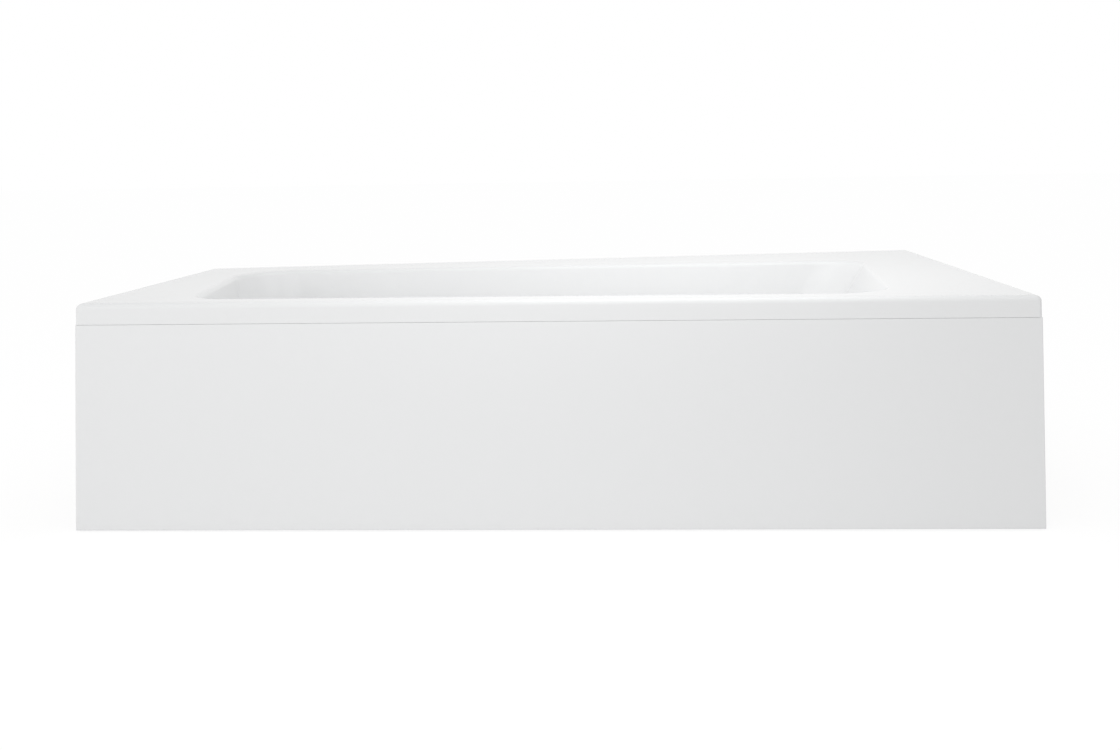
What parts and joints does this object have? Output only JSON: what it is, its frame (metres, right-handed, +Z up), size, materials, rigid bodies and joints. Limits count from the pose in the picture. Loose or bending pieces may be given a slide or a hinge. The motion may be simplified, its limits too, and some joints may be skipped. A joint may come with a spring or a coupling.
{
  "type": "bathtub",
  "caption": "Low white bathtub with a skewed front edge, a sloping backrest and a flat front panel, with levelling feet, pop-up waste, overflow knob and trap.",
  "frame": {"origin": "centre of the bounding box at floor level", "axes": "+X along the back wall towards the wide head end, +Y towards the back wall, +Z up"},
  "size_m": [1.8, 0.9497, 0.432],
  "materials": {
    "bath_acrylic": "gloss",
    "panel_acrylic": "gloss",
    "glass_fibre": "rough laminate",
    "particle_board": "raw board",
    "softwood": "planed",
    "zinc_steel": "zinc plated",
    "rubber": "matte",
    "chrome": "polished",
    "grey_plastic": "moulded",
    "white_plastic": "moulded",
    "cable_black": "extruded"
  },
  "bodies": {
    "tub": {"bath_shell": "bath_acrylic", "glassfibre_backing": "glass_fibre", "base_board": "particle_board", "rim_batten_front": "softwood", "rim_batten_back": "softwood", "rim_batten_foot": "softwood", "rim_batten_head": "softwood", "cradle_bar_foot": "zinc_steel", "panel_arm_foot": "zinc_steel", "panel_hanger_foot": "zinc_steel", "cradle_bar_head": "zinc_steel", "panel_arm_head": "zinc_steel", "panel_hanger_head": "zinc_steel", "cradle_screws": "zinc_steel", "foot_weld_nuts": "zinc_steel", "foot_lock_nuts": "zinc_steel", "panel_arm_nuts": "zinc_steel", "bracket_screws": "zinc_steel", "wall_bracket_back_foot": "zinc_steel", "wall_bracket_back_head": "zinc_steel", "wall_bracket_foot_end": "zinc_steel", "wall_bracket_head_end": "zinc_steel", "panel_catches": "white_plastic", "waste_flange": "chrome", "overflow_rosette": "chrome", "waste_seal_upper": "rubber", "waste_seal_lower": "rubber", "trap_washer": "rubber", "overflow_seal": "rubber", "waste_body": "white_plastic", "trap_body": "white_plastic", "trap_nut": "white_plastic", "overflow_elbow": "white_plastic", "union_nuts": "white_plastic", "outlet_pipe": "grey_plastic", "overflow_pipe": "grey_plastic", "lever_pin": "zinc_steel", "bowden_cable": "cable_black"},
    "knob": {"overflow_knob": "chrome", "cable_drum": "white_plastic"},
    "plug": {"waste_plug": "chrome", "plug_seal": "rubber"},
    "lever": {"lift_lever": "zinc_steel"},
    "panel": {"front_panel": "panel_acrylic", "panel_stiffener_foot": "particle_board", "panel_stiffener_middle": "particle_board", "panel_stiffener_head": "particle_board", "panel_pegs": "white_plastic"},
    "level_foot_front": {"foot_pad_foot_front": "rubber", "foot_stud_foot_front": "zinc_steel"},
    "level_foot_back": {"foot_pad_foot_back": "rubber", "foot_stud_foot_back": "zinc_steel"},
    "level_head_front": {"foot_pad_head_front": "rubber", "foot_stud_head_front": "zinc_steel"},
    "level_head_back": {"foot_pad_head_back": "rubber", "foot_stud_head_back": "zinc_steel"}
  },
  "joints": [
    {"name": "knob_turn", "type": "hinge", "parent": "tub", "child": "knob", "pos_m": [-0.72091, 0.07711, 0.354], "axis": [0.9702, 0.1537, 0.1874], "range_deg": [0, 90]},
    {"name": "plug_lift", "type": "slide", "parent": "tub", "child": "plug", "axis": [0, 0, 1], "range_m": [0, 0.009]},
    {"name": "lever_turn", "type": "hinge", "parent": "tub", "child": "lever", "pos_m": [-0.52623, 0.12718, 0.07], "axis": [-0.9877, -0.1564, 0], "range_deg": [0, 22]},
    {"name": "panel_pull_off", "type": "slide", "parent": "tub", "child": "panel", "axis": [-0.1736, -0.9848, 0], "range_m": [0, 0.3]},
    {"name": "foot_drop_foot_front", "type": "slide", "parent": "tub", "child": "level_foot_front", "axis": [0, 0, -1], "range_m": [0, 0.012]},
    {"name": "foot_drop_foot_back", "type": "slide", "parent": "tub", "child": "level_foot_back", "axis": [0, 0, -1], "range_m": [0, 0.012]},
    {"name": "foot_drop_head_front", "type": "slide", "parent": "tub", "child": "level_head_front", "axis": [0, 0, -1], "range_m": [0, 0.012]},
    {"name": "foot_drop_head_back", "type": "slide", "parent": "tub", "child": "level_head_back", "axis": [0, 0, -1], "range_m": [0, 0.012]}
  ],
  "couplings": [
    {"joint": "plug_lift", "follows": "knob_turn", "m_per_rad": 0.0057296},
    {"joint": "lever_turn", "follows": "knob_turn", "ratio": 0.24444}
  ]
}
